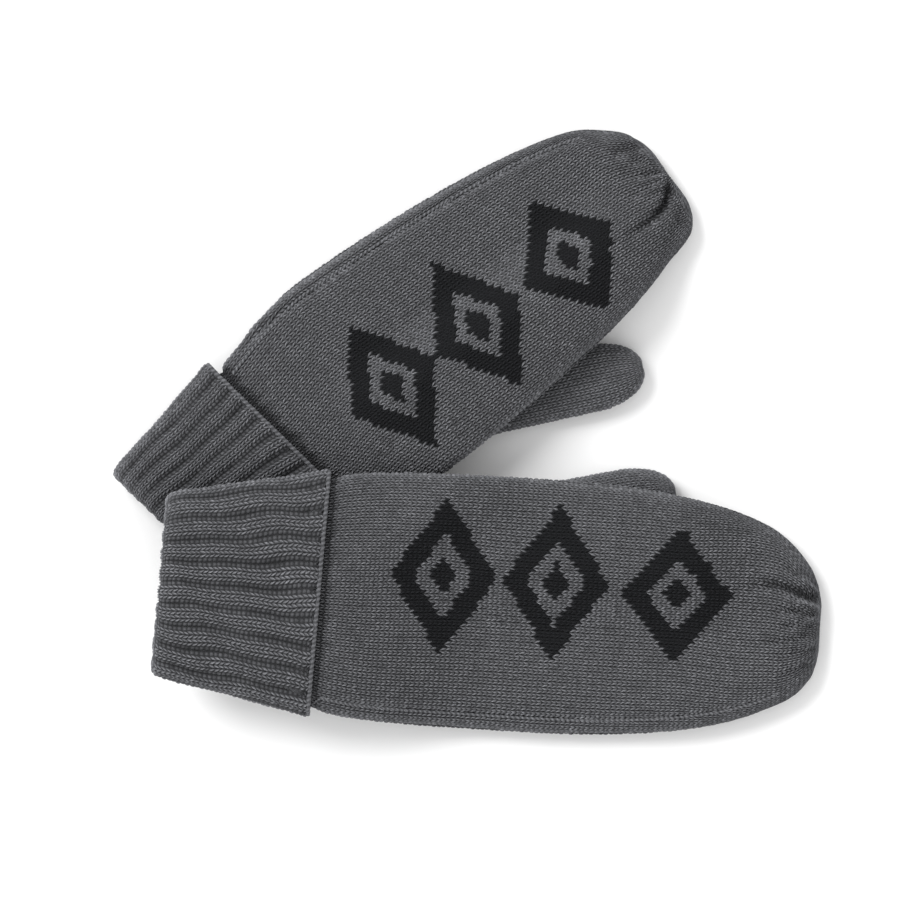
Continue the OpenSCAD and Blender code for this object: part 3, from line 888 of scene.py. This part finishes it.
def thumb(side, m, rng):
    surface = thumb_surface(m)
    columns = plain_columns(*THUMB_WALES)
    knit = Knit(surface, surface.at[0], surface.at[-1], columns, rng)
    # less painted shade on the thumb
    knit.deep = knit.deep + THUMB_LIGHT
    cloth = Cloth.of(knit)
    rows = cloth.points.shape[0]
    quads, _, _ = ring_faces(rows, len(columns), False)
    obj = new_piece(f"{side}_thumb_knit", m, cloth, quads, GREY,
                    poles=((0, True), (rows - 1, False)))
    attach(obj, f"{side}_thumb")
    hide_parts(f"{side}_thumb_shell")
    r = m["root"]
    turn = np.linspace(0, 2 * math.pi, COLLAR_SIDES + 1)[:-1]
    # the collar that stands up through the hole in the palm, wider at its foot
    foot = THUMB_THICK - 1.5
    top = lift(m, r[0] + COLLAR_R * np.cos(turn), r[1] + COLLAR_R * np.sin(turn)) + WALL - 0.3
    up = np.linspace(0, 1, COLLAR_RINGS)
    outside = [(t, COLLAR_R + COLLAR_FLARE * (1 - t) ** 2) for t in up]
    inside = [(t, COLLAR_R - 1.8) for t in up[::-1]]
    rings = [np.stack([r[0] + wide * np.cos(turn), r[1] + wide * np.sin(turn),
                       foot + (top - foot) * t], -1) for t, wide in outside + inside]
    count = 2 * COLLAR_RINGS
    stitches = np.cos(turn * COLLAR_STITCHES)[None, :]
    level = np.zeros((count, COLLAR_SIDES))
    # painted shade in stripes around the collar, one for each stitch
    wave = 0.12 * stitches * np.ones((count, 1))
    strand = np.stack(np.broadcast_arrays(stitches, np.arange(count)[:, None] * 0.5, level), -1)
    collar = Cloth(np.array(rings), 0.6 + wave, strand, level)
    quads, _, _ = ring_faces(count, COLLAR_SIDES, True)
    ring = new_piece(f"{side}_thumb_collar", m, collar, quads, GREY, outward=-1)
    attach(ring, f"{side}_thumb")
    # the stitches picked up around the hole
    z = float(lift(m, np.array(r[0]), np.array(r[1]))) + 0.9
    circle = np.linspace(0, 2 * math.pi, PICKED_UP_SIDES)
    path = np.stack([r[0] + PICKED_UP_R * np.cos(circle), r[1] + PICKED_UP_R * np.sin(circle),
                     np.full(PICKED_UP_SIDES, z)], -1)
    chain = rope(path, np.repeat([[0.0, 0.0, 1.0]], PICKED_UP_SIDES, 0), PICKED_UP_RADIUS, 2.2)
    rings = chain.points.shape[0]
    quads, _, _ = ring_faces(rings, ROPE_SIDES, False)
    seam = new_piece(f"{side}_thumb_stitches", m, chain, quads, GREY,
                     poles=((0, True), (rings - 1, False)))
    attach(seam, f"{side}_hand")
    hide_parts(f"{side}_thumb_seam")


# name, strength, tilt and azimuth in degrees, and apparent size in degrees
LIGHTS = (("key", 2.3, 46, 140, 30), ("fill", 0.4, 50, -60, 60))


def stage_and_camera():
    """A pale floor, soft studio light, and the camera straight above as in the photograph."""
    scene = bpy.context.scene
    floor_material = bpy.data.materials.new("floor")
    n = Nodes(floor_material)
    n.shader.inputs["Base Color"].default_value = (0.92, 0.92, 0.92, 1)
    n.shader.inputs["Roughness"].default_value = 0.9
    mesh = bpy.data.meshes.new("floor")
    reach = 30.0
    corners = [(-reach, -reach, 0), (reach, -reach, 0), (reach, reach, 0), (-reach, reach, 0)]
    mesh.from_pydata(corners, [], [(0, 1, 2, 3)])
    mesh.materials.append(floor_material)
    floor = bpy.data.objects.new("floor", mesh)
    floor.location.z = -0.0002
    scene.collection.objects.link(floor)
    world = bpy.data.worlds.new("studio")
    scene.world = world
    world.use_nodes = True
    world.node_tree.nodes["Background"].inputs["Color"].default_value = (1, 1, 1, 1)
    world.node_tree.nodes["Background"].inputs["Strength"].default_value = 0.93
    for name, strength, tilt, azimuth, size in LIGHTS:
        light = bpy.data.lights.new(name, "SUN")
        light.energy, light.angle = strength, math.radians(size)
        lamp = bpy.data.objects.new(name, light)
        lamp.rotation_euler = (math.radians(tilt), 0, math.radians(azimuth + 90))
        scene.collection.objects.link(lamp)
    camera = bpy.data.cameras.new("camera")
    camera.lens, camera.sensor_width = 500, 36
    frame_width, middle = 0.369, (-0.0068, -0.00825, 0.020)
    eye = bpy.data.objects.new("camera", camera)
    height = frame_width * camera.lens / camera.sensor_width
    eye.location = (middle[0], middle[1], middle[2] + height)
    camera.clip_end = 100
    scene.collection.objects.link(eye)
    scene.camera = eye
    scene.view_settings.view_transform = "Standard"


for number, (side, m) in enumerate(MITTENS.items()):
    rng = np.random.default_rng(SEED + number)
    outer = hand_and_fingers(side, m, rng)
    side_seam(side, m, outer)
    cuff_band(side, m, rng)
    cuff_edge(side, m)
    cuff_liner(side, m, rng)
    thumb(side, m, rng)
stage_and_camera()
